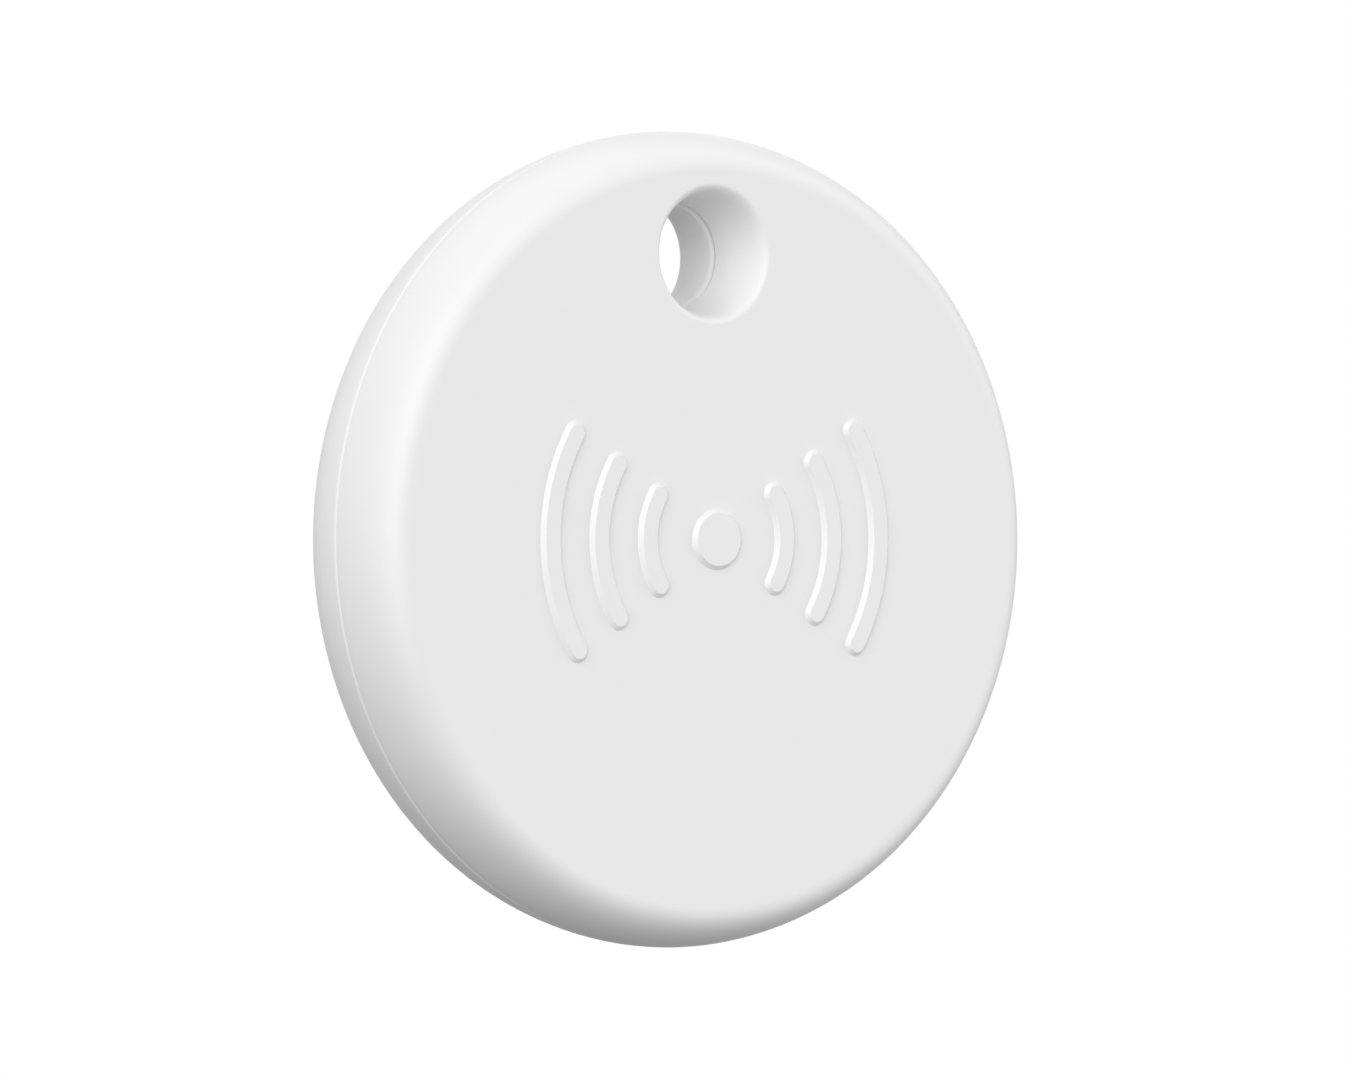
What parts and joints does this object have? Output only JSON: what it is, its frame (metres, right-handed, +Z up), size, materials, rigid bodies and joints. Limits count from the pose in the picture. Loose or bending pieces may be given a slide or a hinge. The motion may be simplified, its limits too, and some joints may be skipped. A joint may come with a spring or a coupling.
{
  "type": "bluetooth tracker tag",
  "caption": "Round white plastic tracker tag with a keyring hole, a raised wave symbol, a pull-off back cover, a coin cell, a piezo sounder and a push switch.",
  "frame": {"origin": "centre of the round tag, on its axis, halfway between its two flat faces", "axes": "+Z up towards the keyring hole, -Y out of the front face with the raised symbol, +Y out of the back cover, +X to the right seen from the front"},
  "size_m": [0.0388, 0.0074, 0.0388],
  "materials": {
    "shell_plastic": "white satin moulded plastic",
    "seal_rubber": "matte",
    "foam": "open-cell foam",
    "adhesive_film": "adhesive film",
    "brass": "rolled sheet",
    "piezo_ceramic": "silvered ceramic",
    "board_laminate": "solder mask on glass laminate",
    "chip_resin": "moulded resin",
    "antenna_ceramic": "fired ceramic",
    "crystal_can": "plated lid",
    "ferrite": "pressed ferrite",
    "capacitor_ceramic": "fired ceramic",
    "spring_metal": "gold-flashed spring bronze",
    "switch_resin": "moulded resin",
    "steel": "pressed and plated",
    "silicone": "soft pad",
    "frame_plastic": "moulded plastic",
    "electrode_mix": "pressed powder"
  },
  "bodies": {
    "front_half": {"battery_clip_left": "spring_metal", "battery_clip_right": "spring_metal", "battery_frame": "frame_plastic", "battery_leaf": "spring_metal", "bluetooth_chip": "chip_resin", "boost_inductor": "ferrite", "button_housing": "switch_resin", "button_plate": "steel", "chip_antenna": "antenna_ceramic", "chip_capacitor_1": "capacitor_ceramic", "chip_capacitor_2": "capacitor_ceramic", "chip_capacitor_3": "capacitor_ceramic", "chip_capacitor_4": "capacitor_ceramic", "chip_resistor_1": "chip_resin", "chip_resistor_2": "chip_resin", "chip_resistor_3": "chip_resin", "chip_resistor_4": "chip_resin", "circuit_board": "board_laminate", "driver_transistor": "chip_resin", "front_shell": "shell_plastic", "memory_chip": "chip_resin", "piezo_adhesive": "adhesive_film", "piezo_ceramic": "piezo_ceramic", "piezo_contact_ceramic": "spring_metal", "piezo_contact_plate": "spring_metal", "piezo_plate": "brass", "press_pad": "silicone", "radio_crystal": "crystal_can", "reservoir_capacitor_1": "capacitor_ceramic", "reservoir_capacitor_2": "capacitor_ceramic", "sleep_crystal": "crystal_can"},
    "cover": {"back_cover": "shell_plastic", "perimeter_seal": "seal_rubber", "keyhole_seal": "seal_rubber", "battery_cushion": "foam"},
    "cell": {"battery_can": "steel", "battery_gasket": "seal_rubber", "battery_cap": "steel", "battery_electrodes": "electrode_mix"},
    "plunger": {"button_plunger": "switch_resin"}
  },
  "joints": [
    {"name": "cover_release", "type": "slide", "parent": "front_half", "child": "cover", "axis": [0, 1, 0], "range_m": [0, 0.014]},
    {"name": "battery_release", "type": "slide", "parent": "front_half", "child": "cell", "axis": [0, 1, 0], "range_m": [0, 0.007]},
    {"name": "button_press", "type": "slide", "parent": "front_half", "child": "plunger", "axis": [0, 1, 0], "range_m": [0, 0.00015], "stiffness_N_per_m": 1500}
  ],
  "couplings": [
    {"joint": "battery_release", "follows": "cover_release", "ratio": 0.5}
  ]
}
